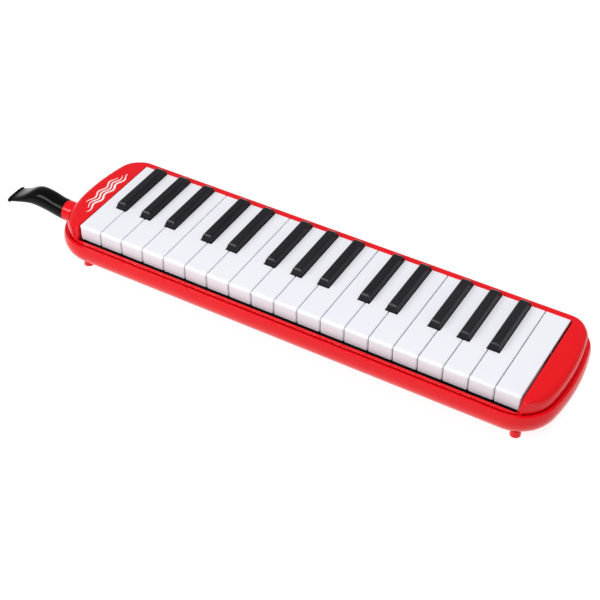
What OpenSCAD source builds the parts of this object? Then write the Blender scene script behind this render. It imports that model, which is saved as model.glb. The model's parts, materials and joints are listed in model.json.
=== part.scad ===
// Thirty-two key melodica: case, air path, reeds, key levers, valve and mouthpiece.
// X runs along the keyboard from the mouthpiece end, Y from the player's side to the
// back, Z up. Inside place() the origin is at the first key's left front corner, level with
// the top of the front rail.

/* [Keyboard] */
// Distance from one white key to the next
key_pitch = 19.5; // [18:0.1:22]
// Gap between neighbouring keys
key_gap = 0.6; // [0.4:0.1:1]
// Visible length of a white key
white_length = 89.4; // [80:0.1:100]
// Height of a white key's top above the front rail
white_height = 11.5; // [9:0.1:14]
// Thickness of a white key's top plate
plate = 2.5; // [1.5:0.1:3.5]
// How far a white key's front hangs below the rail's top
front_drop_z = 1.2; // [0:0.1:2]
// Rounding of a white key's long edges
white_round = 0.7; // [0.4:0.1:2]
// Rounding of a white key's front edge
front_round = 2.6; // [1:0.1:4]
// Rounding of a white key's front corners, seen from above
corner_round = 1.2; // [0.4:0.1:2]
// Width of a black key at its foot
black_width = 9.2; // [8:0.1:11]
// Width of a black key's flat top
black_top_width = 6.4; // [5:0.1:9]
// Where the black keys start, behind the white key fronts
black_front = 32.5; // [28:0.1:40]
// How far a black key stands above the white keys
black_rise = 5.7; // [4:0.1:9]

/* [Action] */
// Distance of the pivot rod behind the key fronts
pivot_y = 58; // [50:0.1:66]
// Height of the pivot rod above the front rail
pivot_z = 3; // [2:0.1:4]
// Radius of the pivot rod
rod_radius = 1.25; // [1:0.05:1.5]
// Radial clearance of a key on the rod
rod_clearance = 0.3; // [0.1:0.05:0.4]
// Width of a key's lever rib
rib_width = 5; // [4:0.1:6]
// Width of a key's hub and valve arm
hub_width = 7; // [6:0.1:8]
// Thickness of the valve pads
pad_thick = 3; // [2:0.1:4]

/* [Case] */
// How far the left end bulges past the keyboard
left_bulge = 28.2; // [20:0.1:40]
// How far the right end bulges past the keyboard
right_bulge = 24; // [20:0.1:40]
// Widest point of the front, measured from the key fronts
case_front = -10; // [-14:0.1:-8]
// Widest point of the back, measured from the key fronts
case_back = 101.6; // [98:0.1:106]
// Radius of the wide end arcs
end_radius = 171; // [120:1:260]
// Plan radius of the front corners
front_corner = 32.175; // [25:0.005:45]
// Plan radius of the back corners
back_corner = 23.4; // [20:0.1:30]
// Radius of the rounding under the lower case
under_round = 15.5; // [12:0.1:17]
// Height of the lower case's widest line, from the front rail's top
bulge_z = -7.5; // [-9:0.1:-5]
// Height of the joint between the two cases
seam_z = -2; // [-3:0.1:-1]
// Wall thickness of both cases
wall = 2.4; // [1.8:0.1:3]
// How far the upper case stands inside the widest line
upper_inset = 3.9; // [3:0.1:6]
// Radius of the upper case's shoulder
shoulder = 5; // [3:0.1:7]
// Height of the end panels above the front rail
panel_z = 11; // [9:0.1:13]
// Radius and height of the moulded feet
foot_radius = 4; // [3:0.1:6]
foot_height = 3.5; // [2:0.1:6]

/* [Air path] */
// Outer radius of the socket and of the mouthpiece tube
tube_radius = 8.5; // [7:0.1:10]
// Radius of the socket's bore
socket_bore = 5.6; // [5:0.1:6.5]
// Gap around the mouthpiece's spigot
spigot_gap = 0.3; // [0.2:0.05:0.4]
// Where the mouthpiece meets the socket
joint_x = -35.5; // [-42:0.1:-33]
// Position of the socket's axis across and up
socket_y = 28; // [24:0.1:34]
socket_z = -6; // [-8:0.1:-4]

/* [Hidden] */
// Every sub-part that can be drawn by itself

// Sub-part to draw

$fn = 96;
e = 0.01;

white_count = 19;
key_count = 32;
board = white_count * key_pitch;
black_pattern = [1, 1, 1, 0, 1, 1, 0];           // a black key after F G A B C D E
black_shift = [-3.4, 0, 3.6, 0, -1.6, 1.6, 0];   // its offset from the white keys' gap
is_black = [0, 1, 0, 1, 0, 1, 0, 0, 1, 0, 1, 0];
white_of = [0, 0, 1, 1, 2, 2, 3, 4, 4, 5, 5, 6];

plate_z = white_height - plate;
rib_z = 2;
black_top = white_height + black_rise;
tail_front = 74.5;
tail_back = 85.5;
bed_top = pivot_z - 7;
bed_bottom = bed_top - 4;
pad_gap = 0.02;

// Plan outline of the case: six arcs whose centres are lined up where the arcs meet
plan_mid = (case_front + case_back) / 2;
right_end = board + right_bulge;
left_end = -left_bulge;
front_cy = case_front + front_corner;
back_cy = case_back - back_corner;
front_drop = plan_mid - front_cy;
back_rise = back_cy - plan_mid;
front_run = sqrt(pow(end_radius - front_corner, 2) - pow(front_drop, 2));
back_run = sqrt(pow(end_radius - back_corner, 2) - pow(back_rise, 2));
shell_bottom = bulge_z - under_round;
floor_z = shell_bottom + wall;
ceiling = panel_z - wall;

// Opening for the keys
well_left = -0.8;
well_right = board + 0.8;

// Chassis and air chamber
bed_left = -5.5;
bed_right = board + 6.5;
bed_back = 89;
chamber = [-6, 42, board + 5, 88];     // left, front, right, back
chamber_floor = shell_bottom + 4;
chamber_wall = 1.6;
gasket = 0.5;
plenum_left = -16.8;
plenum_front = 18;
plenum_back = 60;
plenum_top = 1.5;
port_y = [76.5, 84];
cell_y = [47, 84];
reed_plate_thick = 1.2;
reed_thick = 0.3;
reed_root = 49;
post_x = [-2.25, 4 * key_pitch, 7 * key_pitch, 11 * key_pitch, 14 * key_pitch,
          18 * key_pitch, board + 2.25];
chassis_screw_x = [50, 105, 265, 320];
chassis_screw_y = 24;
corner_screws = [[-8, 11], [-12, 88], [board + 6.5, 11], [board + 11, 84.4]];
screw_seat = shell_bottom + 6;
screw_tip = bed_top - 0.5;
boss_top = -12;
drain_x = 352;
drain_z = -13.5;
foot_x = [3.5, board - 1];
foot_y = [1.8, 86];
strap_x = [130, 240];
strap_y = [14, 36];
strap_thick = 1.2;
strap_z = shell_bottom - 0.5;

tip_x = -90;
x_shift = -(right_end + tip_x) / 2;
y_shift = -(case_front + case_back + 0.4) / 2;
z_shift = foot_height - shell_bottom;

function white_of_key(i) = 7 * floor(i / 12) + white_of[i % 12];
function has_black(j) = j >= 0 && j < white_count - 1 && black_pattern[j % 7] == 1;
function black_x(j) = (j + 1) * key_pitch + black_shift[j % 7];
function tail_left(j) = has_black(j - 1) ? black_x(j - 1) + black_width / 2 : j * key_pitch;
function tail_right(j) = has_black(j) ? black_x(j) - black_width / 2 : (j + 1) * key_pitch;
function tail_x(j) = (tail_left(j) + tail_right(j)) / 2;
function lever_x(i) = is_black[i % 12] == 1 ? black_x(white_of_key(i)) : tail_x(white_of_key(i));
function reed_length(i) = 27 - 15 * i / (key_count - 1);

// ---- Helpers ----

module place() { translate([x_shift, y_shift, z_shift]) children(); }

module block(x, y, z) { translate([x[0], y[0], z[0]]) cube([x[1] - x[0], y[1] - y[0], z[1] - z[0]]); }

module along_x(x0, x1) {
    translate([x0, 0, 0]) rotate([90, 0, 90]) linear_extrude(height = x1 - x0) children();
}

module along_y(y0, y1) {
    translate([0, y1, 0]) rotate([90, 0, 0]) linear_extrude(height = y1 - y0) children();
}

module rod_x(x0, x1, y, z, r) { translate([x0, y, z]) rotate([0, 90, 0]) cylinder(h = x1 - x0, r = r); }

module rod_y(y0, y1, x, z, r) { translate([x, y0, z]) rotate([-90, 0, 0]) cylinder(h = y1 - y0, r = r); }

module post(x, y, z0, z1, r) { translate([x, y, z0]) cylinder(h = z1 - z0, r = r); }

// ---- Keys ----

module white_side() {
    r = front_round;
    polygon([[0, -front_drop_z], [2.5, -front_drop_z], [4.5, 6.5], [34, 7], [42, plate_z], [white_length, plate_z],
             [white_length, white_height], [r, white_height], [r, white_height - r],
             [0, white_height - r]]);
    translate([r, white_height - r]) circle(r = r);
}

module white_front(w) {
    r = white_round;
    translate([0, -3]) square([w, white_height - r + 3]);
    translate([r, 0]) square([w - 2 * r, white_height]);
    for (x = [r, w - r]) translate([x, white_height - r]) circle(r = r);
}

// Plan of a key of width w with rounded front corners
module key_plan(w, front, r) {
    translate([0, front + r]) square([w, white_length]);
    translate([r, front]) square([w - 2 * r, r + 1]);
    for (x = [r, w - r]) translate([x, front + r]) circle(r = r);
}

module black_side() {
    polygon([[black_front + 0.1, plate_z - 2], [black_front + 0.1, white_height + 0.6],
             [black_front + 1.6, black_top - 1.3], [black_front + 2.6, black_top - 0.2],
             [black_front + 3.4, black_top],
             [white_length - 5, black_top], [white_length - 5, black_top - 5],
             [white_length, black_top - 5], [white_length, plate_z - 2]]);
    translate([white_length - 5, black_top - 5]) circle(r = 5);
}

module black_section() {
    r = 1.5;
    c = [black_top_width / 2 - 1.2, black_top - r];
    t = c + r * [0.96, 0.28];
    f = t + 4.1 * [0.28, -0.96];
    for (side = [0, 1]) mirror([side, 0]) {
        polygon([[0, plate_z - 2], [f[0], plate_z - 2], f, t, c, [c[0], black_top], [0, black_top]]);
        translate(c) circle(r = r);
    }
}

// Rib, hub, valve arm and pad under every key
module lever(x, front) {
    difference() {
        union() {
            block([x - rib_width / 2, x + rib_width / 2], [front, tail_back + 1], [rib_z, plate_z + 0.5]);
            rod_x(x - hub_width / 2, x + hub_width / 2, pivot_y, pivot_z, 3.6);
            block([x - hub_width / 2, x + hub_width / 2], [tail_front + 0.5, tail_back],
                  [bed_top + pad_thick + 2 * pad_gap, rib_z + 2]);
        }
        rod_x(x - 5, x + 5, pivot_y, pivot_z, rod_radius + rod_clearance);
    }
}

module pad(x) {
    block([x - hub_width / 2 - 0.4, x + hub_width / 2 + 0.4], [tail_front, tail_back],
          [bed_top + pad_gap, bed_top + pad_gap + pad_thick]);
}

module white_key(j) {
    x0 = j * key_pitch + key_gap / 2;
    w = key_pitch - key_gap;
    x = tail_x(j);
    difference() {
        union() {
            difference() {
                intersection() {
                    along_x(x0, x0 + w) white_side();
                    along_y(-1, white_length + 1) translate([x0, 0]) white_front(w);
                    translate([x0, 0, -3]) linear_extrude(height = white_height + 4)
                        key_plan(w, 0, corner_round);
                }
                block([x0 + 1.3, x0 + w - 1.3], [1.8, 31], [-3, plate_z]);
                for (k = [j - 1, j]) if (has_black(k))
                    block([black_x(k) - black_width / 2 - key_gap, black_x(k) + black_width / 2 + key_gap],
                          [black_front - key_gap, white_length + 1], [-1, white_height + 1]);
            }
            lever(x, 3);
        }
        block([x - 1.3, x + 1.3], [6, 16], [rib_z - 1, plate_z]);
    }
    pad(x);
}

module black_key(j) {
    x = black_x(j);
    difference() {
        intersection() {
            along_x(x - 10, x + 10) black_side();
            along_y(black_front - 1, white_length + 1) translate([x, 0]) black_section();
            translate([x - black_width / 2, 0, 0]) linear_extrude(height = black_top + 1)
                key_plan(black_width, black_front, 1.6);
        }
        block([x - 3, x + 3], [black_front + 2, white_length - 3], [0, white_height + 1.5]);
    }
    lever(x, black_front + 1.5);
    block([x - rib_width / 2, x + rib_width / 2], [black_front + 1.5, white_length - 2],
          [plate_z, white_height + 2]);
    pad(x);
}

module key(i) {
    place() if (is_black[i % 12] == 1) black_key(white_of_key(i)); else white_key(white_of_key(i));
}

// ---- Case ----

// The sector each arc of the plan fills, seen from the arc's own centre
module end_sector() { polygon([[0, 0], 1.5 * [front_run, -front_drop], 1.5 * [back_run, back_rise]]); }

module front_sector() {
    polygon([[0, 0], [0, -60], [front_run / 2, -60], [front_run / 2, -front_drop / 2]]);
}

module back_sector() { polygon([[0, 0], [back_run / 2, back_rise / 2], [back_run / 2, 60], [0, 60]]); }

// Plan outline drawn in by an inset
module plan(inset) {
    right_cx = right_end - end_radius;
    left_cx = left_end + end_radius;
    for (side = [0, 1]) mirror([side, 0]) {
        cx = side == 0 ? right_cx : -left_cx;
        translate([cx + front_run, front_cy]) intersection() {
            circle(r = front_corner - inset);
            front_sector();
        }
        translate([cx + back_run, back_cy]) intersection() {
            circle(r = back_corner - inset);
            back_sector();
        }
        translate([cx, plan_mid]) intersection() {
            circle(r = end_radius - inset);
            end_sector();
        }
    }
    polygon([[left_cx - front_run, case_front + inset], [right_cx + front_run, case_front + inset],
             [right_cx + front_run, front_cy], [right_cx, plan_mid], [right_cx + back_run, back_cy],
             [right_cx + back_run, case_back - inset], [left_cx - back_run, case_back - inset],
             [left_cx - back_run, back_cy], [left_cx, plan_mid], [left_cx - front_run, front_cy]]);
}

// Sweeps a wall section right round the plan; x = 0 is the widest line, inwards is negative
module swept_wall() {
    right_cx = right_end - end_radius;
    left_cx = left_end + end_radius;
    for (side = [0, 1]) mirror([side, 0, 0]) {
        cx = side == 0 ? right_cx : -left_cx;
        translate([cx + front_run, front_cy, 0]) swept_sector(front_corner) { children(); front_sector(); }
        translate([cx + back_run, back_cy, 0]) swept_sector(back_corner) { children(); back_sector(); }
        translate([cx, plan_mid, 0]) swept_sector(end_radius) { children(); end_sector(); }
    }
    along_x(left_cx - front_run, right_cx + front_run) translate([case_front, 0]) mirror([1, 0]) children();
    along_x(left_cx - back_run, right_cx + back_run) translate([case_back, 0]) children();
}

// A section turned about a centre, and kept inside one sector
module swept_sector(radius) {
    intersection() {
        rotate_extrude() translate([radius, 0]) children(0);
        translate([0, 0, -40]) linear_extrude(height = 80) children(1);
    }
}

module lower_section() {
    r = under_round;
    difference() {
        union() {
            translate([-r, bulge_z]) circle(r = r);
            translate([-r - 2, shell_bottom]) square([2, wall]);
        }
        translate([-r, bulge_z]) circle(r = r - wall);
        translate([-2 * r - 1, shell_bottom + wall]) square([r + 1, 3 * r]);
        translate([-2 * r - 1, shell_bottom - 1]) square([r - 1, 3 * r]);
        translate([-2 * r - 1, seam_z + 0.4]) square([3 * r, 2 * r]);
    }
}

module upper_section() {
    u = -upper_inset;
    t = wall - 0.4;
    c = [u - shoulder, panel_z - shoulder];
    polygon([[u - t, seam_z - 1.5], [u, seam_z - 1.5], [u, c[1]], [c[0], panel_z],
             [c[0] - 4, panel_z], [c[0] - 4, ceiling], [c[0] - 0.5, ceiling],
             [u - t, ceiling - shoulder + t - 0.5]]);
    intersection() {
        translate(c) circle(r = shoulder);
        polygon([[u, c[1]], [u + 1, c[1]], [u + 1, panel_z + 1], [c[0], panel_z + 1], [c[0], panel_z]]);
    }
}

module upper_case() {
    color("#c8141c") place() difference() {
        union() {
            difference() {
                union() {
                    swept_wall() upper_section();
                    translate([0, 0, ceiling]) linear_extrude(height = wall)
                        plan(upper_inset + shoulder + 3.5);
                }
                // low front rail with sloping ends
                along_y(case_front - 5, 1)
                    polygon([[-2.4, 0], [board + 2.4, 0], [board + 8.4, 13], [-8.4, 13]]);
                block([well_left, well_right], [-3.6, white_length + 0.6], [1, panel_z + 1]);
            }
            // sloping ends of the rail, the walls behind them and the ledge before the keys
            intersection() {
                union() {
                    for (side = [0, 1]) translate([side * board, 0, 0]) mirror([side, 0, 0]) {
                        along_y(case_front + upper_inset + 0.9, 2)
                            polygon([[-2.4, 0], [-6.6, 9.1], [-9.3, 9.1], [-5.2, 0], [-5.2, -2],
                                     [-2, -2], [-2, 0]]);
                        block([-10, -2.2], [1, 2.6], [-2, ceiling + 0.5]);
                    }
                    block([-3, board + 3], [case_front + upper_inset + 0.9, -3.6], [-2, 0]);
                    // walls beside the end keys, cut short over the pivot rod
                    for (x = [[well_left - 1.6, well_left], [well_right, well_right + 1.6]]) {
                        block(x, [-4, 1.5], [-2, 0]);
                        block(x, [1, pivot_y - 5.5], [-2, ceiling + e]);
                        block(x, [pivot_y - 6, pivot_y + 6], [6.6, ceiling + e]);
                        block(x, [pivot_y + 5.5, white_length + 1.8], [-2, ceiling + e]);
                    }
                }
                translate([0, 0, -3]) linear_extrude(height = panel_z + 3) plan(upper_inset + 0.9);
            }
            // wall behind the keys
            block([well_left - 1.6, well_right + 1.6], [white_length + 0.6, white_length + 1.8],
                  [-2, ceiling + e]);
            for (s = corner_screws) post(s[0], s[1], boss_top, ceiling + e, 4);
        }
        for (s = corner_screws) post(s[0], s[1], boss_top - 1, screw_tip + 2, 1.45);
        rod_x(joint_x, -12, socket_y, socket_z, tube_radius + 0.1);
    }
}

module lower_case() {
    color("#b81018") place() difference() {
        union() {
            swept_wall() lower_section();
            translate([0, 0, shell_bottom]) linear_extrude(height = wall) plan(under_round + 1);
            for (x = foot_x, y = foot_y) post(x, y, shell_bottom - foot_height, floor_z - 0.1, foot_radius);
            for (s = corner_screws) post(s[0], s[1], floor_z - 1, boss_top, 4.6);
            for (x = chassis_screw_x) post(x, chassis_screw_y, floor_z - 1, boss_top, 4.6);
            for (x = [60, 185, 310]) block([x, x + 2], [50, 84], [floor_z - e, chamber_floor]);
            for (x = strap_x, y = [strap_y[0] - 3.5, strap_y[1] + 1]) strap_cradle(x, y);
        }
        for (s = corner_screws) screw_hole(s[0], s[1]);
        for (x = chassis_screw_x) screw_hole(x, chassis_screw_y);
        for (x = strap_x) block([x - 1.7, x + 1.7], [strap_y[0] - 0.5, strap_y[1] + 0.5],
                                [shell_bottom - 1, floor_z + 1]);
        rod_x(joint_x, -12, socket_y, socket_z, tube_radius + 0.1);
        rod_y(88, case_back + 2, drain_x, drain_z, 4.3);
    }
}

module screw_hole(x, y) {
    post(x, y, shell_bottom - 3, screw_seat, 3.2);
    post(x, y, shell_bottom, boss_top + 1, 1.6);
}

module strap_cradle(x, y) {
    difference() {
        block([x - 3.5, x + 3.5], [y, y + 2.5], [floor_z - e, floor_z + 6]);
        rod_y(y - 1, y + 4, x, floor_z + 3.6, 1.55);
    }
}

module hand_strap() {
    color("#202024") place() difference() {
        union() {
            block([strap_x[0], strap_x[1]], strap_y, [strap_z - strap_thick, strap_z]);
            for (k = [0, 1]) {
                x = strap_x[k];
                s = k == 0 ? 0 : -strap_thick;
                block([x + s, x + s + strap_thick], strap_y, [strap_z - strap_thick, floor_z + 3.6]);
                rod_y(strap_y[0], strap_y[1], x, floor_z + 3.6, 1.55 + strap_thick);
            }
        }
        for (x = strap_x) rod_y(strap_y[0] - 1, strap_y[1] + 1, x, floor_z + 3.6, 1.55);
    }
}

module strap_pins() {
    color("#b8bcc2") place() for (x = strap_x)
        rod_y(strap_y[0] - 3.2, strap_y[1] + 3.2, x, floor_z + 3.6, 1.5);
}

module case_screws() {
    color("#9aa0a6") place()
        for (s = concat(corner_screws, [for (x = chassis_screw_x) [x, chassis_screw_y]])) difference() {
            union() {
                post(s[0], s[1], screw_seat - 1.8, screw_seat, 2.8);
                post(s[0], s[1], screw_seat - e, screw_tip, 1.4);
            }
            for (a = [0, 90]) translate([s[0], s[1], screw_seat - 1.9]) rotate([0, 0, a])
                translate([-1.6, -0.35, 0]) cube([3.2, 0.7, 1.1]);
        }
}

// ---- Air path ----

module mouthpiece_socket() {
    color("#c8141c") place() difference() {
        union() {
            rod_x(joint_x, -19, socket_y, socket_z, tube_radius);
            rod_x(-19.2, -17.8, socket_y, socket_z, 9.6);
            rod_x(-18, -14.2, socket_y, socket_z, 5);
        }
        rod_x(joint_x - 1, joint_x + 14, socket_y, socket_z, socket_bore);
        rod_x(joint_x, -10, socket_y, socket_z, 3.8);
    }
}

module socket_seal() {
    color("#26262a") place() translate([-17.3, socket_y, socket_z]) rotate([0, 90, 0])
        rotate_extrude() translate([6.6, 0]) circle(r = 0.5);
}

// Elliptical slice of the mouthpiece: distance from the joint, rise, half width, half height
module slice(s) {
    translate([joint_x - s[0], socket_y, socket_z + s[1]]) rotate([90, 0, -90])
        linear_extrude(height = 0.1) scale([s[2] / 10, s[3] / 10]) circle(r = 10, $fn = 44);
}

module mouthpiece() {
    slices = [[1, 0, 8.5, 8.5], [7, 1, 8.4, 8.6], [14, 2.7, 8.5, 8.9], [21, 3.8, 8.7, 8.7],
              [27, 4, 8.9, 7.8], [32, 3.2, 9.1, 6.4], [37, 1.5, 9.4, 4.8], [42, -0.5, 9.5, 3.4],
              [48, -2.9, 9.4, 2.2], [53, -4.6, 9.3, 1.8]];
    color("#141416") place() difference() {
        union() {
            rod_x(joint_x - 1.1, joint_x, socket_y, socket_z, tube_radius);
            rod_x(joint_x - 1, joint_x + 13, socket_y, socket_z, socket_bore - spigot_gap);
            for (k = [0 : len(slices) - 2]) hull() { slice(slices[k]); slice(slices[k + 1]); }
            translate([tip_x, socket_y, socket_z - 4.6]) {
                block([0, 1.8], [-7.8, 7.8], [-2.4, 2.4]);
                for (y = [-7.8, 7.8]) rod_x(0, 1.8, y, 0, 2.4);
            }
        }
        rod_x(joint_x - 18, joint_x + 14, socket_y, socket_z, 4);
        hull() { slice([17, 0, 3.5, 3.5]); slice([34, 1.2, 6.2, 1.5]); }
        hull() { slice([34, 1.2, 6.2, 1.5]); slice([56, -5.6, 6.8, 0.8]); }
    }
}

module air_chamber() {
    w = chamber_wall;
    c = chamber;
    color("#2c2c30") place() difference() {
        union() {
            block([c[0], c[2]], [c[1], c[3]], [chamber_floor, bed_bottom - gasket]);
            block([plenum_left, c[0] + e], [plenum_front, plenum_back], [chamber_floor, plenum_top]);
        }
        block([c[0] + w, c[2] - w], [c[1] + w, c[3] - w], [chamber_floor + w, bed_bottom + 1]);
        block([plenum_left + w, c[0] - w], [plenum_front + w, plenum_back - w],
              [chamber_floor + w, plenum_top - w]);
        block([c[0] - w - 1, c[0] + w + 1], [c[1] + 2.5, plenum_back - 2.5],
              [chamber_floor + w, bed_bottom - gasket - 1.5]);
        rod_x(plenum_left - 1, plenum_left + w + 1, socket_y, socket_z, 5.2);
        rod_y(c[3] - w - 1, c[3] + 1, drain_x, drain_z, 1.9);
    }
}

module chamber_gasket() {
    w = chamber_wall;
    c = chamber;
    color("#3a3a3e") place() difference() {
        block([c[0], c[2]], [c[1], c[3]], [bed_bottom - gasket, bed_bottom]);
        block([c[0] + w, c[2] - w], [c[1] + w, c[3] - w], [bed_bottom - gasket - 1, bed_bottom + 1]);
    }
}

module valve_bed() {
    color("#242428") place() difference() {
        union() {
            block([0, board], [5, 42], [bed_bottom, bed_top]);
            block([0, board], [-2, 5 + e], [bed_bottom, bed_top - 2.5]);
            block([bed_left, bed_right], [41, bed_back], [bed_bottom, bed_top]);
            block([0, board], [32, 40], [bed_top - e, bed_top + 2.2]);
            for (x = post_x) block([x - 1.25, x + 1.25], [pivot_y - 4, pivot_y + 4],
                                   [bed_top - e, pivot_z + 3.2]);
            for (i = [0 : key_count - 1]) post(lever_x(i), 46, bed_top - e, bed_top + 2, 1.4);
            for (x = chassis_screw_x) post(x, chassis_screw_y, boss_top, bed_bottom + e, 3.4);
        }
        rod_x(bed_left - 1, bed_right + 1, pivot_y, pivot_z, rod_radius + 0.03);
        for (i = [0 : key_count - 1]) {
            x = lever_x(i);
            block([x - 2.2, x + 2.2], port_y, [bed_bottom - 1, bed_top + 1]);
            block([x - 3, x + 3], cell_y, [bed_bottom - 1, bed_bottom + 2]);
        }
        for (x = chassis_screw_x) post(x, chassis_screw_y, boss_top - 1, screw_tip, 1.45);
        for (p = plate_screws) post(p[0], p[1], bed_bottom - 1, bed_bottom + 3, 1.05);
    }
}

// ---- Reeds ----

bass_span = [-3, (lever_x(15) + lever_x(16)) / 2 - 0.5];
treble_span = [(lever_x(15) + lever_x(16)) / 2 + 0.5, board + 2];
plate_screws = [for (s = [bass_span, treble_span], x = [s[0] + 1.8, s[1] - 1.8], y = [48.5, 83]) [x, y]];

module reed_plate(span, first) {
    z0 = bed_bottom - reed_plate_thick;
    difference() {
        block(span, [45.5, 85.5], [z0, bed_bottom]);
        for (i = [first : first + 15])
            block([lever_x(i) - 1.3, lever_x(i) + 1.3],
                  [reed_root + 2.5, reed_root + 2.5 + reed_length(i)], [z0 - 1, bed_bottom + 1]);
        for (i = [first : first + 15]) post(lever_x(i), reed_root + 1, z0 - 1, bed_bottom + 1, 0.8);
        for (p = plate_screws) post(p[0], p[1], z0 - 1, bed_bottom + 1, 1.15);
    }
}

module reeds(first) {
    z1 = bed_bottom - reed_plate_thick;
    for (i = [first : first + 15]) difference() {
        block([lever_x(i) - 1.1, lever_x(i) + 1.1],
              [reed_root - 0.8, reed_root + 2.2 + reed_length(i)], [z1 - reed_thick, z1]);
        post(lever_x(i), reed_root + 1, z1 - 1, z1 + 1, 0.8);
    }
}

module bass_reed_plate() { color("#c9a24a") place() reed_plate(bass_span, 0); }
module treble_reed_plate() { color("#c9a24a") place() reed_plate(treble_span, 16); }
module bass_reeds() { color("#d8b866") place() reeds(0); }
module treble_reeds() { color("#d8b866") place() reeds(16); }

module reed_rivets() {
    z1 = bed_bottom - reed_plate_thick - reed_thick;
    color("#b08a38") place() for (i = [0 : key_count - 1]) {
        post(lever_x(i), reed_root + 1, z1 - 0.5, z1, 1.05);
        post(lever_x(i), reed_root + 1, z1 - e, bed_bottom - 0.1, 0.78);
    }
}

module reed_plate_screws() {
    z0 = bed_bottom - reed_plate_thick;
    color("#aeb2b8") place() for (p = plate_screws) {
        post(p[0], p[1], z0 - 1.2, z0, 1.8);
        post(p[0], p[1], z0 - e, bed_bottom + 2.8, 1);
    }
}

// ---- Key action ----

module pivot_rod() {
    color("#c2c6cc") place() rod_x(-5.3, board + 5.3, pivot_y, pivot_z, rod_radius);
}

module rod_clips() {
    color("#8c9096") place() for (x = [-4.6, board + 3.8]) difference() {
        rod_x(x, x + 0.8, pivot_y, pivot_z, 2.8);
        rod_x(x - 1, x + 2, pivot_y, pivot_z, rod_radius + 0.03);
        block([x - 1, x + 2], [pivot_y - 0.9, pivot_y + 0.9], [pivot_z - 4, pivot_z]);
    }
}

module key_springs() {
    color("#c8ccd2") place() for (i = [0 : key_count - 1])
        translate([lever_x(i), 46, bed_top + 0.05])
            linear_extrude(height = rib_z - bed_top - 0.1, twist = -1080, slices = 36, $fn = 4)
                translate([2.1, 0]) circle(r = 0.35, $fn = 4);
}

module guide_comb() {
    color("#3a3a40") place() {
        block([1, board - 1], [6, 16], [bed_top, bed_top + 1.8]);
        for (j = [0 : white_count - 1])
            block([tail_x(j) - 1, tail_x(j) + 1], [8, 14], [bed_top + 1.8 - e, 5]);
    }
}

module key_felt() {
    color("#46464c") place() block([0.5, board - 0.5], [33, 39], [bed_top + 2.2, bed_top + 4.2]);
}

// ---- Water release ----

module water_button() {
    color("#18181b") place() {
        rod_y(94, case_back + 0.4, drain_x, drain_z, 4);
        rod_y(83.2, 94 + e, drain_x, drain_z, 1.3);
    }
}

module drain_pad() {
    color("#3c3c40") place() difference() {
        rod_y(chamber[3] - chamber_wall - 2, chamber[3] - chamber_wall - 0.05, drain_x, drain_z, 3.2);
        rod_y(80, 90, drain_x, drain_z, 1.3);
    }
}

module drain_spring() {
    color("#c8ccd2") place() translate([drain_x, 88.1, drain_z]) rotate([-90, 0, 0])
        linear_extrude(height = 5.8, twist = -1440, slices = 64, $fn = 6)
            translate([2.6, 0]) circle(r = 0.4, $fn = 6);
}

// ---- One module per key, from the lowest note up ----

module key_f3() { color("#f2f2f6") key(0); }
module key_fs3() { color("#17171a") key(1); }
module key_g3() { color("#f2f2f6") key(2); }
module key_gs3() { color("#17171a") key(3); }
module key_a3() { color("#f2f2f6") key(4); }
module key_as3() { color("#17171a") key(5); }
module key_b3() { color("#f2f2f6") key(6); }
module key_c4() { color("#f2f2f6") key(7); }
module key_cs4() { color("#17171a") key(8); }
module key_d4() { color("#f2f2f6") key(9); }
module key_ds4() { color("#17171a") key(10); }
module key_e4() { color("#f2f2f6") key(11); }
module key_f4() { color("#f2f2f6") key(12); }
module key_fs4() { color("#17171a") key(13); }
module key_g4() { color("#f2f2f6") key(14); }
module key_gs4() { color("#17171a") key(15); }
module key_a4() { color("#f2f2f6") key(16); }
module key_as4() { color("#17171a") key(17); }
module key_b4() { color("#f2f2f6") key(18); }
module key_c5() { color("#f2f2f6") key(19); }
module key_cs5() { color("#17171a") key(20); }
module key_d5() { color("#f2f2f6") key(21); }
module key_ds5() { color("#17171a") key(22); }
module key_e5() { color("#f2f2f6") key(23); }
module key_f5() { color("#f2f2f6") key(24); }
module key_fs5() { color("#17171a") key(25); }
module key_g5() { color("#f2f2f6") key(26); }
module key_gs5() { color("#17171a") key(27); }
module key_a5() { color("#f2f2f6") key(28); }
module key_as5() { color("#17171a") key(29); }
module key_b5() { color("#f2f2f6") key(30); }
module key_c6() { color("#f2f2f6") key(31); }

// ---- What is drawn ----

upper_case();
lower_case();
mouthpiece();
mouthpiece_socket();
socket_seal();
air_chamber();
chamber_gasket();
valve_bed();
bass_reed_plate();
treble_reed_plate();
bass_reeds();
treble_reeds();
reed_rivets();
reed_plate_screws();
pivot_rod();
rod_clips();
key_springs();
guide_comb();
key_felt();
case_screws();
water_button();
drain_pad();
drain_spring();
hand_strap();
strap_pins();
key_f3();
key_fs3();
key_g3();
key_gs3();
key_a3();
key_as3();
key_b3();
key_c4();
key_cs4();
key_d4();
key_ds4();
key_e4();
key_f4();
key_fs4();
key_g4();
key_gs4();
key_a4();
key_as4();
key_b4();
key_c5();
key_cs5();
key_d5();
key_ds5();
key_e5();
key_f5();
key_fs5();
key_g5();
key_gs5();
key_a5();
key_as5();
key_b5();
key_c6();
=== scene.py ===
"""Looks of a 32-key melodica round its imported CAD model.

Lengths are millimetres in the keyboard frame of the part's source: X along the keys from the
first key's left edge, Y from the key fronts to the back, Z up from the front rail's top.
to_row() turns them into metres in the row frame.
"""

import json
import math

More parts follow.
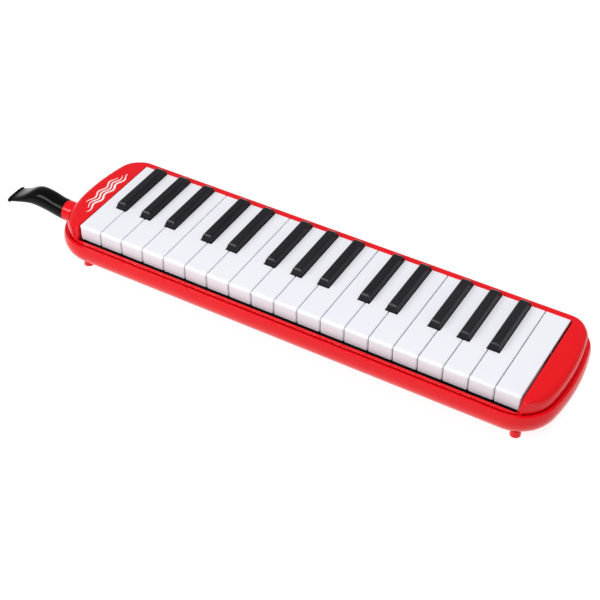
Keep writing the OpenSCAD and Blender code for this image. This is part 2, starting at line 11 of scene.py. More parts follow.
import bmesh
import bpy
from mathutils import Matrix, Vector


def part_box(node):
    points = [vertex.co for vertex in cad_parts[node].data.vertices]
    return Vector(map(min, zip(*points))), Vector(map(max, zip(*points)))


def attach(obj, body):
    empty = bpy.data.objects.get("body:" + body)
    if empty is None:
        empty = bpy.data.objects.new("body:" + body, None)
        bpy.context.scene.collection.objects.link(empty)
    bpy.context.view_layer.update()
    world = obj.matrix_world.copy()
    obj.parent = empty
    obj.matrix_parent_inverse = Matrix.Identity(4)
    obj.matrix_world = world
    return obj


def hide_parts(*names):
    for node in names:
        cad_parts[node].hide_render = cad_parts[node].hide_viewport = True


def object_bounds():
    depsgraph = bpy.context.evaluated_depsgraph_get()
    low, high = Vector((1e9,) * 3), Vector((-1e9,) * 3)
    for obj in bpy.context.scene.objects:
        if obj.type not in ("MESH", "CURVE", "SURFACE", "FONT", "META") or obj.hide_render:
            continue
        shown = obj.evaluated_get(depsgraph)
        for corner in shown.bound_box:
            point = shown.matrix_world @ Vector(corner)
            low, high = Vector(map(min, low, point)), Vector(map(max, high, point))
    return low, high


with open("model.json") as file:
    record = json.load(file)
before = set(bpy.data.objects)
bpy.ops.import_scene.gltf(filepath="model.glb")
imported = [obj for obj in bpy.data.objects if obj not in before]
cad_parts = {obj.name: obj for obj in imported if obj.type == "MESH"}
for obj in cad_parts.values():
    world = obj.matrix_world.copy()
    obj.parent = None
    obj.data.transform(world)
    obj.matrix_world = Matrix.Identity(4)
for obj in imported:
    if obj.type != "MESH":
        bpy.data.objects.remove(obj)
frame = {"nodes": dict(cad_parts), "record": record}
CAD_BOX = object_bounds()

MM = 0.001
NODES = frame["nodes"]

# ---- The keyboard frame, from the CAD boxes ----

KEY_GAP = 0.6
KEY_TOP = 11.5
KEY_PITCH = 19.5
WHITE_COUNT = 19
BOARD = WHITE_COUNT * KEY_PITCH

first_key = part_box("key_f3")
ORIGIN = Vector((
    first_key[0].x - KEY_GAP / 2 * MM,
    first_key[0].y,
    first_key[1].z - KEY_TOP * MM,
))


def to_row(x, y, z):
    return ORIGIN + Vector((x, y, z)) * MM


def in_keys(point):
    return (Vector(point) - ORIGIN) / MM


def key_box(node):
    lo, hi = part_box(node)
    return in_keys(lo), in_keys(hi)


OTHER_KEY_NODES = ("key_springs", "key_felt")
KEY_NODES = sorted(n for n in NODES if n.startswith("key_") and n not in OTHER_KEY_NODES)
BLACK_NODES = [n for n in KEY_NODES if n[5] == "s"]  # key_fs3 and its like

# ---- Plan outline of the case: six arcs, as in the part's source ----

lower_lo, lower_hi = key_box("lower_case")
LEFT_END, RIGHT_END = lower_lo.x, lower_hi.x
CASE_FRONT, CASE_BACK = -10.0, 101.6
END_RADIUS, FRONT_CORNER, BACK_CORNER = 171.0, 32.175, 23.4
PLAN_MID = (CASE_FRONT + CASE_BACK) / 2
FRONT_CY = CASE_FRONT + FRONT_CORNER
BACK_CY = CASE_BACK - BACK_CORNER
FRONT_RUN = math.sqrt((END_RADIUS - FRONT_CORNER) ** 2 - (PLAN_MID - FRONT_CY) ** 2)
BACK_RUN = math.sqrt((END_RADIUS - BACK_CORNER) ** 2 - (BACK_CY - PLAN_MID) ** 2)
FRONT_ANGLE = math.atan2(FRONT_CY - PLAN_MID, FRONT_RUN)
BACK_ANGLE = math.atan2(BACK_CY - PLAN_MID, BACK_RUN)
RIGHT_CX = RIGHT_END - END_RADIUS
LEFT_CX = LEFT_END + END_RADIUS


def outline(step):
    """Points and outward normals round the case's widest line, anticlockwise from the left end
    of the front, each about step apart."""
    half = math.pi / 2
    arcs = [
        (RIGHT_CX + FRONT_RUN, FRONT_CY, FRONT_CORNER, -half, FRONT_ANGLE),
        (RIGHT_CX, PLAN_MID, END_RADIUS, FRONT_ANGLE, BACK_ANGLE),
        (RIGHT_CX + BACK_RUN, BACK_CY, BACK_CORNER, BACK_ANGLE, half),
        None,
        (LEFT_CX - BACK_RUN, BACK_CY, BACK_CORNER, half, math.pi - BACK_ANGLE),
        (LEFT_CX, PLAN_MID, END_RADIUS, math.pi - BACK_ANGLE, math.pi - FRONT_ANGLE),
        (LEFT_CX - FRONT_RUN, FRONT_CY, FRONT_CORNER, math.pi - FRONT_ANGLE, 3 * half),
    ]
    points = []

    def straight(x0, x1, y, normal_y):
        count = max(2, round(abs(x1 - x0) / step))
        for i in range(count):
            points.append(((x0 + (x1 - x0) * i / count, y), (0.0, normal_y)))

    straight(LEFT_CX - FRONT_RUN, RIGHT_CX + FRONT_RUN, CASE_FRONT, -1.0)
    for arc in arcs:
        if arc is None:
            straight(RIGHT_CX + BACK_RUN, LEFT_CX - BACK_RUN, CASE_BACK, 1.0)
            continue
        cx, cy, r, a0, a1 = arc
        count = max(6, round(r * abs(a1 - a0) / step))
        for i in range(count):
            a = a0 + (a1 - a0) * i / count
            n = (math.cos(a), math.sin(a))
            points.append(((cx + r * n[0], cy + r * n[1]), n))
    return points


# ---- Mesh helpers ----

MERGE_METRES = 1e-7


def new_object(name, verts, faces, sharp_degrees=38):
    """A mesh object from points in the keyboard frame."""
    mesh = bpy.data.meshes.new(name)
    mesh.from_pydata([to_row(*v) for v in verts], [], faces)
    bm = bmesh.new()
    bm.from_mesh(mesh)
    bmesh.ops.remove_doubles(bm, verts=bm.verts, dist=MERGE_METRES)
    bmesh.ops.recalc_face_normals(bm, faces=bm.faces)
    bm.to_mesh(mesh)
    bm.free()
    obj = bpy.data.objects.new(name, mesh)
    bpy.context.scene.collection.objects.link(obj)
    mesh.shade_smooth()
    mesh.set_sharp_from_angle(angle=math.radians(sharp_degrees))
    return obj


def loop_faces(rows, columns):
    """Quads of a surface closed both ways, rows by columns of points."""
    faces = []
    for i in range(rows):
        for j in range(columns):
            i2, j2 = (i + 1) % rows, (j + 1) % columns
            faces.append((i * columns + j, i2 * columns + j, i2 * columns + j2, i * columns + j2))
    return faces


def tube_faces(rows, columns):
    """Quads of a tube, rows by columns of points, with a face over each end."""
    faces = []
    for i in range(rows - 1):
        for j in range(columns):
            a, b = i * columns + j, i * columns + (j + 1) % columns
            faces.append((a, a + columns, b + columns, b))
    last = (rows - 1) * columns
    return faces + [tuple(range(columns)), tuple(last + j for j in reversed(range(columns)))]


def left_normal(path, i):
    """Unit normal on the left of a flat path, at its point i."""
    (ax, ay), (bx, by) = path[max(i - 1, 0)], path[min(i + 1, len(path) - 1)]
    norm = math.hypot(bx - ax, by - ay)
    return -(by - ay) / norm, (bx - ax) / norm


def clamp(value, low, high):
    return min(max(value, low), high)


def smoothstep(t):
    t = clamp(t, 0.0, 1.0)
    return t * t * (3 - 2 * t)


def mix(a, b, t):
    return tuple(p + (q - p) * t for p, q in zip(a, b))


# ---- Upper case ----

COLUMN_STEP = 1.2
UPPER_INSET = 3.9  # how far the moulding stands inside the case's widest line
SHOULDER = 5.0
WIDE_SHOULDER = 8.0  # at the front corners
WIDE_FROM_Y, WIDE_OVER = 36, 30  # where the shoulder starts to widen, and over what length
RAIL_SHOULDER = 0.55
WALL, SKIRT_WALL = 2.4, 2.0
PANEL_Z = key_box("upper_case")[1].z
RAMP_X, RAMP_Y = 5.5, 3.0  # how far the panels' ends take to fall to the rail, each way
WELL_LEFT, WELL_RIGHT, WELL_FRONT, WELL_BACK = -0.8, BOARD + 1.3, -3.6, 90.0
WELL_CORNER = 0.8
RIM = 0.5  # rounding of the key opening's top edge
PROBE = 2.0  # how far inside its edge a section asks whether it belongs to the rail
WELL_WALL, FRONT_WELL_WALL = 1.5, 0.25
WELL_WALL_FOOT = -2.0
SKIRT_Z = -3.4
GROOVE = ((1.0, -1.15), (0.2, -0.85), (0.0, -0.6))  # the undercut below the lip: depth and height
LIP_Z = -0.58
ROD_Y = (51.5, 64.5)  # where the pivot rod's ends need room under the panels
ROD_ROOM_Z = 6.6
CEILING_Z = -1.7
SKIRT_TOP_Z = -1.8


def top_height(x, y):
    """Height of the moulding's top: the end panels fall in a short rounded ramp to the front rail."""
    dx = max(WELL_LEFT - RIM - x, x - WELL_RIGHT - RIM, 0.0)
    dy = max(y - WELL_FRONT - RIM, 0.0)
    return PANEL_Z * smoothstep(math.hypot(dx / RAMP_X, dy / RAMP_Y))


def upper_case_section(point):
    """One closed section of the moulding, from the outline inwards to the key opening and back
    underneath. It fans round the opening's corners."""
    (px, py), (nx, ny) = point
    corner_x = clamp(px, WELL_LEFT + WELL_CORNER, WELL_RIGHT - WELL_CORNER)
    corner_y = clamp(py, WELL_FRONT + WELL_CORNER, WELL_BACK - WELL_CORNER)
    reach = math.hypot(px - corner_x, py - corner_y)
    ux, uy = (px - corner_x) / reach, (py - corner_y) / reach

    def inset(d):
        return (px - d * nx, py - d * ny)

    def beside_well(grow):
        return (corner_x + (WELL_CORNER + grow) * ux, corner_y + (WELL_CORNER + grow) * uy)

    # 0 on the front rail, 1 on the end panels and along the back
    share = top_height(*inset(UPPER_INSET + PROBE)) / PANEL_Z
    wide = SHOULDER + (WIDE_SHOULDER - SHOULDER) * smoothstep((WIDE_FROM_Y - py) / WIDE_OVER)
    room = reach - WELL_CORNER - UPPER_INSET
    r = min(RAIL_SHOULDER + (wide - RAIL_SHOULDER) * share, room / 2)
    outer = inset(UPPER_INSET + r)

    section = [(*inset(UPPER_INSET + GROOVE[0][0]), SKIRT_Z)]
    section += [(*inset(UPPER_INSET + depth), z) for depth, z in GROOVE]
    shoulder_steps = 12
    for i in range(shoulder_steps + 1):
        a = math.pi / 2 * i / shoulder_steps
        at = inset(UPPER_INSET + r * (1 - math.cos(a)))
        section.append((*at, max(top_height(*outer) - r * (1 - math.sin(a)), LIP_Z)))

    # the top, with its points closer together near the opening
    inner = beside_well(RIM)
    top_steps, crowding = 17, 1.9
    for i in range(1, top_steps + 1):
        at = mix(outer, inner, 1 - (1 - i / top_steps) ** crowding)
        section.append((*at, top_height(*at)))
    rim_steps = 3
    for i in range(1, rim_steps + 1):
        a = math.pi / 2 * i / rim_steps
        at = beside_well(RIM * (1 - math.sin(a)))
        section.append((*at, top_height(*inner) - RIM * (1 - math.cos(a))))

    # the wall round the opening, cut short over the pivot rod, and the hollow underside
    edge = beside_well(0)
    beside_keys = abs(ux) > 0.99
    wall_z = ROD_ROOM_Z if beside_keys and ROD_Y[0] < edge[1] < ROD_Y[1] else WELL_WALL_FOOT
    section.append((*edge, wall_z))
    thin = 1 - abs(ux) if uy < 0 else 0
    back = beside_well(WELL_WALL + (FRONT_WELL_WALL - WELL_WALL) * thin)
    section.append((*back, wall_z))
    inner_wall = inset(UPPER_INSET + SKIRT_WALL)
    shoulder_wall = WALL + r / 2
    ceiling_edge = inner_wall if share < 0.5 else inset(UPPER_INSET + shoulder_wall)
    ceiling_steps = 5
    for i in range(ceiling_steps + 1):
        at = mix(back, ceiling_edge, i / ceiling_steps)
        section.append((*at, max(top_height(*at) - WALL, CEILING_Z)))
    section.append((*inner_wall, max(share * PANEL_Z - shoulder_wall, SKIRT_TOP_Z)))
    section.append((*inner_wall, SKIRT_Z))
    return section


def build_upper_case():
    rows = [upper_case_section(point) for point in outline(COLUMN_STEP)]
    verts = [v for row in rows for v in row]
    return new_object("upper_case_shell", verts, loop_faces(len(rows), len(rows[0])))


# ---- Mouthpiece ----

mouth_lo, mouth_hi = key_box("mouthpiece")
JOINT_X = key_box("mouthpiece_socket")[0].x
AXIS_Y = (mouth_lo.y + mouth_hi.y) / 2
AXIS_Z = -6.0
TIP = JOINT_X - mouth_lo.x
SPIGOT = mouth_hi.x - JOINT_X

# Sections of the moulding: distance from the joint, rise, half width, half height, squareness
SPIGOT_R = 5.3
SPIGOT_SLICES = [
    (-SPIGOT, 0, SPIGOT_R - 0.4, SPIGOT_R - 0.4, 2), (0.4 - SPIGOT, 0, SPIGOT_R, SPIGOT_R, 2),
    (-0.05, 0, SPIGOT_R, SPIGOT_R, 2), (0.0, 0, 5.5, 5.5, 2), (0.0, 0, 8.1, 8.1, 2),
    (0.15, 0, 8.38, 8.38, 2),
]
BODY_SLICES = [
    (0.0, 0.0, 8.5, 8.5, 2.0), (7.0, 1.0, 8.4, 8.6, 2.0), (14.0, 2.7, 8.5, 8.9, 2.0),
    (21.0, 3.8, 8.7, 8.7, 2.0), (27.0, 4.0, 8.9, 7.8, 2.05), (32.0, 3.2, 9.1, 6.4, 2.1),
    (37.0, 1.5, 9.4, 4.8, 2.2), (42.0, -0.5, 9.5, 3.4, 2.35), (48.0, -2.9, 9.4, 2.2, 2.6),
    (TIP - 1.9, -4.5, 9.3, 1.8, 2.8),
]
FLANGE_SLICES = [
    (TIP - 1.75, -4.6, 9.5, 2.0, 2.9), (TIP - 1.65, -4.6, 9.95, 2.25, 3.0),
    (TIP - 1.45, -4.6, 10.18, 2.38, 3.0), (TIP - 1.2, -4.6, 10.2, 2.4, 3.0),
    (TIP - 0.5, -4.6, 10.2, 2.4, 3.0), (TIP - 0.2, -4.6, 10.1, 2.3, 3.0),
    (TIP - 0.02, -4.6, 9.8, 2.0, 3.0), (TIP, -4.6, 9.5, 1.75, 3.0),
    (TIP, -5.0, 7.1, 1.15, 3.0), (TIP - 0.1, -5.05, 6.8, 0.95, 3.0),
]
AIRWAY_SLICES = [
    (TIP, -5.1, 6.7, 0.85, 3.0), (48.0, -3.1, 6.5, 1.1, 2.8), (34.0, 1.2, 6.2, 1.5, 2.4),
    (24.0, 0.5, 4.4, 2.8, 2.0), (16.0, 0.0, 4.0, 4.0, 2.0), (-SPIGOT, 0.0, 4.0, 4.0, 2.0),
]
BODY_STEP, AIRWAY_STEP = 0.9, 1.5
BODY_START = 0.3  # the body's own slices begin past the small chamfer at the joint


def spline(knots, step):
    """Catmull-Rom curve through knots whose first number runs along the axis."""
    made = []
    for i in range(len(knots) - 1):
        p0, p1, p2, p3 = (knots[min(max(j, 0), len(knots) - 1)] for j in range(i - 1, i + 3))
        count = max(1, round(abs(p2[0] - p1[0]) / step))
        for k in range(count):
            t = k / count
            made.append(tuple(
                0.5 * (2 * b + (c - a) * t + (2 * a - 5 * b + 4 * c - d) * t * t
                       + (3 * b - a - 3 * c + d) * t ** 3)
                for a, b, c, d in zip(p0, p1, p2, p3)))
    made.append(tuple(knots[-1]))
    return made


def round_slice(s, rise, half_width, half_height, squareness):
    """A superellipse across the axis: squareness 2 is an ellipse, and more is squarer."""
    power = 2 / squareness
    count = 56
    points = []
    for i in range(count):
        a = 2 * math.pi * i / count
        c, d = math.cos(a), math.sin(a)
        y = math.copysign(abs(c) ** power, c) * half_width
        z = math.copysign(abs(d) ** power, d) * half_height
        points.append((JOINT_X - s, AXIS_Y + y, AXIS_Z + rise + z))
    return points


def build_mouthpiece():
    body = [row for row in spline(BODY_SLICES, BODY_STEP) if row[0] > BODY_START]
    airway = spline(AIRWAY_SLICES, AIRWAY_STEP)[1:]
    rings = [round_slice(*row) for row in SPIGOT_SLICES + body + FLANGE_SLICES + airway]
    verts = [v for ring in rings for v in ring]
    faces = loop_faces(len(rings), len(rings[0]))
    return new_object("mouthpiece_moulding", verts, faces, sharp_degrees=50)


# ---- Hand strap ----

STRAP_THICK = 1.1
STRAP_EDGE = 0.35  # rounding of the webbing's two long edges
RUN_RISE = 1.7  # from the CAD strap's lowest face to the middle of the run
PIN_R = 1.5
PIN_GAP = 0.06
WRAP_FROM, WRAP = -20, 200  # degrees round the left pin
LEAN = 0.5  # how far the strap comes inwards between its pin and its bend
BEND_R = 2.0


def strap_path():
    """The strap's middle line in X and Z, from its end on the left pin to its end on the right."""
    pins_lo, pins_hi = key_box("strap_pins")
    left, right = pins_lo.x + PIN_R, pins_hi.x - PIN_R
    pin_z = pins_hi.z - PIN_R
    run_z = key_box("hand_strap")[0].z + RUN_RISE
    turn = PIN_R + PIN_GAP + STRAP_THICK / 2
    outside, bend_z = left - turn, run_z + BEND_R
    wrap_steps, drop_steps, bend_steps, run_steps = 16, 5, 6, 30
    path = []
    for i in range(wrap_steps + 1):
        a = math.radians(WRAP_FROM + WRAP * i / wrap_steps)
        path.append((left + turn * math.cos(a), pin_z + turn * math.sin(a)))
    for i in range(1, drop_steps + 1):
        path.append(mix((outside, pin_z), (outside + LEAN, bend_z), i / drop_steps))
    for i in range(1, bend_steps + 1):
        a = math.pi + math.pi / 2 * i / bend_steps
        path.append((outside + LEAN + BEND_R * (1 + math.cos(a)), bend_z + BEND_R * math.sin(a)))
    mirrored = [(left + right - x, z) for x, z in reversed(path)]
    run = [mix(path[-1], mirrored[0], i / run_steps) for i in range(1, run_steps)]
    return path + run + mirrored


def build_strap():
    """Webbing stretched along the underside, with each end turned up round a pin."""
    strap_lo, strap_hi = key_box("hand_strap")
    y0, y1 = strap_lo.y, strap_hi.y
    half = STRAP_THICK / 2
    section = [
        (half, y0 + STRAP_EDGE), (half / 2, y0), (-half / 2, y0), (-half, y0 + STRAP_EDGE),
        (-half, y1 - STRAP_EDGE), (-half / 2, y1), (half / 2, y1), (half, y1 - STRAP_EDGE),
    ]
    path = strap_path()
    verts = []
    for i, (x, z) in enumerate(path):
        nx, nz = left_normal(path, i)
        verts += [(x + nx * d, y, z + nz * d) for d, y in section]
    strap = new_object("strap_band", verts, tube_faces(len(path), len(section)), sharp_degrees=60)
    length = sum(math.dist(a, b) for a, b in zip(path, path[1:]))
    return strap, (y1 - y0) * MM, length * MM


# ---- Painted mark ----

RIPPLES = (  # start and end in Y, middle line in X, width
    (17, 74, -6.2, 1.7),
    (22, 70, -9.4, 1.3),
    (27, 66, -12.6, 1.3),
)
RIPPLE_SWING, RIPPLE_WAVE = 1.3, 15
RIPPLE_PHASE_Y = 17  # where every ripple crosses its middle line
RIPPLE_POINTS = 91
STROKE_TIP = 0.35  # share of the width left at a stroke's ends
STROKE_SWELL = 1.6  # how fast it widens from there
PAINT_TOP, PAINT_FOOT = 0.06, -0.1  # against the case's surface


def painted_stroke(name, points, width):
    """A thin closed ribbon of paint lying on the case's top along a line of points."""
    section = ((1, PAINT_FOOT), (1, PAINT_TOP), (-1, PAINT_TOP), (-1, PAINT_FOOT))
    verts = []
    for i, (x, y) in enumerate(points):
        nx, ny = left_normal(points, i)
        swell = STROKE_SWELL * math.sin(math.pi * i / (len(points) - 1))
        half = width / 2 * min(1.0, STROKE_TIP + (1 - STROKE_TIP) * swell)
        z = top_height(x, y)
        verts += [(x + side * nx * half, y + side * ny * half, z + rise) for side, rise in section]
    return new_object(name, verts, tube_faces(len(points), len(section)))


def build_mark():
    """Three ripples along the left end panel."""
    strokes = []
    for k, (start, end, middle, width) in enumerate(RIPPLES):
        points = []
        for i in range(RIPPLE_POINTS):
            y = start + (end - start) * i / (RIPPLE_POINTS - 1)
            swing = RIPPLE_SWING * math.sin(2 * math.pi * (y - RIPPLE_PHASE_Y) / RIPPLE_WAVE)
            points.append((middle + swing, y))
        strokes.append(painted_stroke(f"ripple_{k + 1}", points, width))
    return strokes


# ---- Materials ----

DULLING = 0.72  # a metal's dull spots against its bright ones


def node(tree, kind, **inputs):
    """A new shader node with values set on the inputs of those names."""
    made = tree.nodes.new(kind)
    for name, value in inputs.items():
        made.inputs[name.replace("_", " ")].default_value = value
    return made


def new_material(name):
    material = bpy.data.materials.new(name)
    material.use_nodes = True
    tree = material.node_tree
    shader = next(n for n in tree.nodes if n.type == "BSDF_PRINCIPLED")
    place = tree.nodes.new("ShaderNodeTexCoord")
    return material, tree, shader, place


def noise(tree, place, per_metre, detail, roughness=0.55, stretch=None):
    made = node(tree, "ShaderNodeTexNoise", Scale=per_metre, Detail=detail, Roughness=roughness)
    where = place.outputs["Object"]
    if stretch:
        mapping = node(tree, "ShaderNodeMapping", Scale=stretch)
        tree.links.new(where, mapping.inputs["Vector"])
        where = mapping.outputs["Vector"]
    tree.links.new(where, made.inputs["Vector"])
    return made


def ranged(tree, source, low, high, from_low=0.3, from_high=0.7):
    """The source's from_low to from_high, clamped and spread over low to high."""
    made = node(tree, "ShaderNodeMapRange", From_Min=from_low, From_Max=from_high,
                To_Min=low, To_Max=high)
    tree.links.new(source, made.inputs["Value"])
    return made.outputs["Result"]


def add_bump(tree, shader, *layers):
    """Layers of (height output, distance in metres), each on top of the last."""
    normal = None
    for height, distance in layers:
        bump = node(tree, "ShaderNodeBump", Strength=1.0, Distance=distance)
        tree.links.new(height, bump.inputs["Height"])
        if normal:
            tree.links.new(normal, bump.inputs["Normal"])
        normal = bump.outputs["Normal"]
    tree.links.new(normal, shader.inputs["Normal"])


def two_tone(tree, shader, factor, colour, other):
    blend = tree.nodes.new("ShaderNodeMix")
    blend.data_type = "RGBA"
    blend.inputs["A"].default_value = (*colour, 1)
    blend.inputs["B"].default_value = (*other, 1)
    tree.links.new(factor, blend.inputs["Factor"])
    tree.links.new(blend.outputs["Result"], shader.inputs["Base Color"])


def moulded(name, colour, other, rough, grain=2500, grain_depth=0.00001, wave_depth=0.00004,
            specular=0.5, scratch=0.0):
    """Moulded plastic: faint colour drift, fine grain, slow waviness and, where scratch is a
    depth, hairline marks."""
    material, tree, shader, place = new_material(name)
    drift = noise(tree, place, 14, detail=2)
    fine = noise(tree, place, grain, detail=2)
    wave = noise(tree, place, 35, detail=1, roughness=0.4)
    patches = noise(tree, place, 60, detail=4)
    two_tone(tree, shader, ranged(tree, drift.outputs["Fac"], 0, 1), colour, other)
    tree.links.new(ranged(tree, patches.outputs["Fac"], *rough), shader.inputs["Roughness"])
    layers = [(wave.outputs["Fac"], wave_depth), (fine.outputs["Fac"], grain_depth)]
    if scratch:
        marks = noise(tree, place, 90, detail=6, roughness=0.7, stretch=(1.0, 14.0, 6.0))
        lines = ranged(tree, marks.outputs["Fac"], 0, 1, from_low=0.62, from_high=0.66)
        layers.append((lines, -scratch))
    add_bump(tree, shader, *layers)
    shader.inputs["IOR"].default_value = 1.5
    shader.inputs["Specular IOR Level"].default_value = specular
    return material


def metal(name, colour, rough, brushed=(1.0, 40.0, 1.0)):
    """Brushed or rolled metal with fine lines and dull spots."""
    material, tree, shader, place = new_material(name)
    lines = noise(tree, place, 400, detail=3, roughness=0.6, stretch=brushed)
    spots = noise(tree, place, 120, detail=4)
    dull = tuple(c * DULLING for c in colour)
    two_tone(tree, shader, ranged(tree, spots.outputs["Fac"], 0, 1), colour, dull)
    tree.links.new(ranged(tree, lines.outputs["Fac"], *rough), shader.inputs["Roughness"])
    add_bump(tree, shader, (lines.outputs["Fac"], 0.000004))
    shader.inputs["Metallic"].default_value = 1.0
    return material


def felt(name, colour, other):
    """Pressed wool: matted fibres with a soft sheen."""
    material, tree, shader, place = new_material(name)
    fibres = noise(tree, place, 2600, detail=8, roughness=0.75)
    clumps = noise(tree, place, 300, detail=4, roughness=0.6)
    two_tone(tree, shader, ranged(tree, fibres.outputs["Fac"], 0, 1), colour, other)
    add_bump(tree, shader, (clumps.outputs["Fac"], 0.0004), (fibres.outputs["Fac"], 0.0003))
    shader.inputs["Roughness"].default_value = 0.95
    shader.inputs["Sheen Weight"].default_value = 0.5
    return material


def webbing(name, colour, other):
    """Ribbed webbing: warp cords along X crossed by weft bars."""
    material, tree, shader, place = new_material(name)
    ribs = node(tree, "ShaderNodeTexWave", Scale=150.0, Distortion=0.3)
    ribs.bands_direction = "X"
    cords = node(tree, "ShaderNodeTexWave", Scale=110.0, Distortion=0.3)
    cords.bands_direction = "Y"
    fuzz = noise(tree, place, 4000, detail=5, roughness=0.7)
    for wave in (ribs, cords):
        tree.links.new(place.outputs["Object"], wave.inputs["Vector"])
    two_tone(tree, shader, ribs.outputs["Fac"], colour, other)
    add_bump(tree, shader, (ribs.outputs["Fac"], 0.0003), (cords.outputs["Fac"], 0.0002),
             (fuzz.outputs["Fac"], 0.0001))
    shader.inputs["Roughness"].default_value = 0.85
    shader.inputs["Sheen Weight"].default_value = 0.3
    return material


RED = moulded("red_gloss", (0.73, 0.004, 0.010), (0.70, 0.003, 0.008), (0.12, 0.18),
              grain=1800, grain_depth=0.000002, wave_depth=0.000006, specular=0.24, scratch=0.000003)
BLACK = moulded("black_gloss", (0.001, 0.001, 0.0012), (0.002, 0.002, 0.0022), (0.14, 0.22),
                grain_depth=0.000003, wave_depth=0.000004, specular=0.11)
WHITE_KEY = moulded("white_key", (0.76, 0.76, 0.81), (0.74, 0.74, 0.795), (0.28, 0.38),
                    grain=3000, grain_depth=0.000012, wave_depth=0.00002)
BLACK_KEY = moulded("black_key", (0.012, 0.012, 0.015), (0.018, 0.018, 0.022), (0.14, 0.22),
                    grain=2600, grain_depth=0.000004, wave_depth=0.000004, specular=0.12)
RUBBER = moulded("seal_rubber", (0.015, 0.015, 0.017), (0.03, 0.03, 0.03), (0.6, 0.8),
                 grain_depth=0.00004)
CHAMBER = moulded("chamber_plastic", (0.022, 0.022, 0.026), (0.03, 0.03, 0.034), (0.4, 0.55),
                  grain_depth=0.00003)
# The valve bed's near-black colour is painted shade: it makes the gaps between and under the keys
# read as dark hollows.
BED_PAINTED_SHADE = moulded("bed_plastic", (0.010, 0.010, 0.011), (0.014, 0.014, 0.015), (0.5, 0.65),
              grain_depth=0.00002)
COMB = moulded("comb_plastic", (0.04, 0.04, 0.05), (0.055, 0.055, 0.06), (0.4, 0.55),
               grain_depth=0.00003)
PLATE_BRASS = metal("reed_brass", (0.72, 0.50, 0.20), (0.22, 0.4))
RIVET_BRASS = metal("rivet_brass", (0.62, 0.42, 0.17), (0.25, 0.45))
STEEL = metal("steel", (0.62, 0.63, 0.65), (0.2, 0.38), (60.0, 1.0, 1.0))
SPRING = metal("spring_steel", (0.68, 0.69, 0.72), (0.18, 0.3))
FELT = felt("stop_felt", (0.05, 0.05, 0.055), (0.09, 0.09, 0.095))
PAINT = moulded("paint_white", (0.80, 0.80, 0.80), (0.74, 0.74, 0.74), (0.35, 0.5),
                grain_depth=0.000004)
STRAP = webbing("strap_webbing", (0.008, 0.008, 0.010), (0.022, 0.022, 0.025))
SLOT_MATERIAL = {
    "red_gloss": RED, "black_gloss": BLACK, "white_key": WHITE_KEY, "black_key": BLACK_KEY,
    "seal_rubber": RUBBER, "chamber_plastic": CHAMBER, "bed_plastic": BED_PAINTED_SHADE,
    "comb_plastic": COMB, "reed_brass": PLATE_BRASS, "rivet_brass": RIVET_BRASS,
    "steel": STEEL, "spring_steel": SPRING, "stop_felt": FELT, "strap_webbing": STRAP,
}


WELD_METRES = 1e-6
SOFT_ABOVE = 30  # degrees between two faces, from which their edge is rounded


def dress(obj, slot_name):
    obj.data.materials.clear()
    obj.data.materials.append(SLOT_MATERIAL[slot_name])


def soften(obj, width):
    """Rounds a CAD node's sharp edges for looks, and evens its shading."""
    weld = obj.modifiers.new("weld", "WELD")
    weld.merge_threshold = WELD_METRES
    bevel = obj.modifiers.new("bevel", "BEVEL")
    bevel.width = width * MM
    bevel.segments = 2
    bevel.limit_method = "ANGLE"
    bevel.angle_limit = math.radians(SOFT_ABOVE)
    normals = obj.modifiers.new("normals", "WEIGHTED_NORMAL")
    normals.keep_sharp = True


for part in frame["record"]["subparts"]:
    dress(NODES[part["node"]], part["material_slot"])

# ---- Pieces ----

BLACK_KEY_ROUND, CASE_ROUND = 0.25, 0.3


def add_piece(obj, body, slot_name, replaced=None):
    dress(obj, slot_name)
    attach(obj, body)
    if replaced:
        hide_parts(replaced)


add_piece(build_upper_case(), "case", "red_gloss", "upper_case")
add_piece(build_mouthpiece(), "mouthpiece", "black_gloss", "mouthpiece")
band, band_width, band_length = build_strap()
add_piece(band, "case", "strap_webbing", "hand_strap")
for ripple in build_mark():
    ripple.data.materials.append(PAINT)
    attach(ripple, "case")
for name in BLACK_NODES:
    soften(NODES[name], BLACK_KEY_ROUND)
for name in ("lower_case", "mouthpiece_socket", "water_button"):
    soften(NODES[name], CASE_ROUND)

# ---- Studio: metres, watts and degrees ----

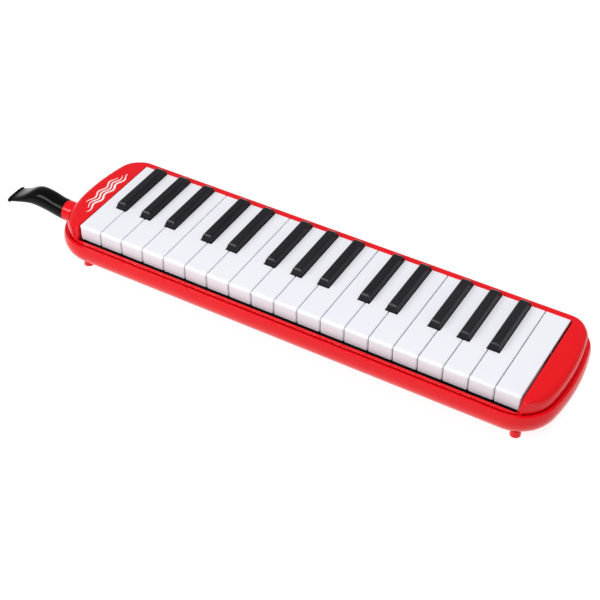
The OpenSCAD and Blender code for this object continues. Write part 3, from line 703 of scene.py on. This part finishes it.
FLOOR_HALF = 6.0
PAPER, PAPER_FLECK = (0.21, 0.21, 0.21), (0.19, 0.19, 0.19)
PAPER_GLOW = 0.88
ROOM_LIGHT = 0.42
LENS, SENSOR = 81.51, 36
CAMERA_AT = (0.412656, -0.674979, 0.692704)
CAMERA_DOWN, CAMERA_ROUND = 41.4828, 30.2533  # below level, and round from the front


def area_light(name, location, size, power):
    """A rectangular softbox that faces the middle of the object."""
    light = bpy.data.lights.new(name, "AREA")
    light.shape = "RECTANGLE"
    light.size, light.size_y = size
    light.energy = power
    obj = bpy.data.objects.new(name, light)
    obj.location = location
    obj.rotation_euler = (-Vector(location)).to_track_quat("-Z", "Y").to_euler()
    bpy.context.scene.collection.objects.link(obj)


def build_floor():
    """Pale paper that glows a little, so that it stays near white."""
    side, z = FLOOR_HALF, CAD_BOX[0].z
    mesh = bpy.data.meshes.new("floor")
    mesh.from_pydata([(-side, -side, z), (side, -side, z), (side, side, z), (-side, side, z)],
                     [], [(0, 1, 2, 3)])
    floor = bpy.data.objects.new("floor", mesh)
    bpy.context.scene.collection.objects.link(floor)
    material, tree, shader, place = new_material("floor_paper")
    flecks = noise(tree, place, 900, detail=4)
    two_tone(tree, shader, ranged(tree, flecks.outputs["Fac"], 0, 1), PAPER, PAPER_FLECK)
    shader.inputs["Roughness"].default_value = 0.9
    shader.inputs["Emission Color"].default_value = (1, 1, 1, 1)
    shader.inputs["Emission Strength"].default_value = PAPER_GLOW
    floor.data.materials.append(material)


def build_camera():
    data = bpy.data.cameras.new("camera")
    data.lens = LENS
    data.sensor_width = SENSOR
    camera = bpy.data.objects.new("camera", data)
    camera.location = CAMERA_AT
    camera.rotation_euler = (math.radians(90 - CAMERA_DOWN), 0, math.radians(CAMERA_ROUND))
    bpy.context.scene.collection.objects.link(camera)
    bpy.context.scene.camera = camera


build_floor()
world = bpy.data.worlds.new("studio")
world.use_nodes = True
background = next(n for n in world.node_tree.nodes if n.type == "BACKGROUND")
background.inputs["Color"].default_value = (1, 1, 1, 1)
background.inputs["Strength"].default_value = ROOM_LIGHT
bpy.context.scene.world = world
bpy.context.scene.view_settings.view_transform = "Standard"
area_light("top_softbox", (0.42, 0.12, 1.3), (0.6, 0.6), 9.5)
area_light("front_softbox", (-0.62, -1.08, 0.9), (1.0, 0.45), 13.5)
build_camera()
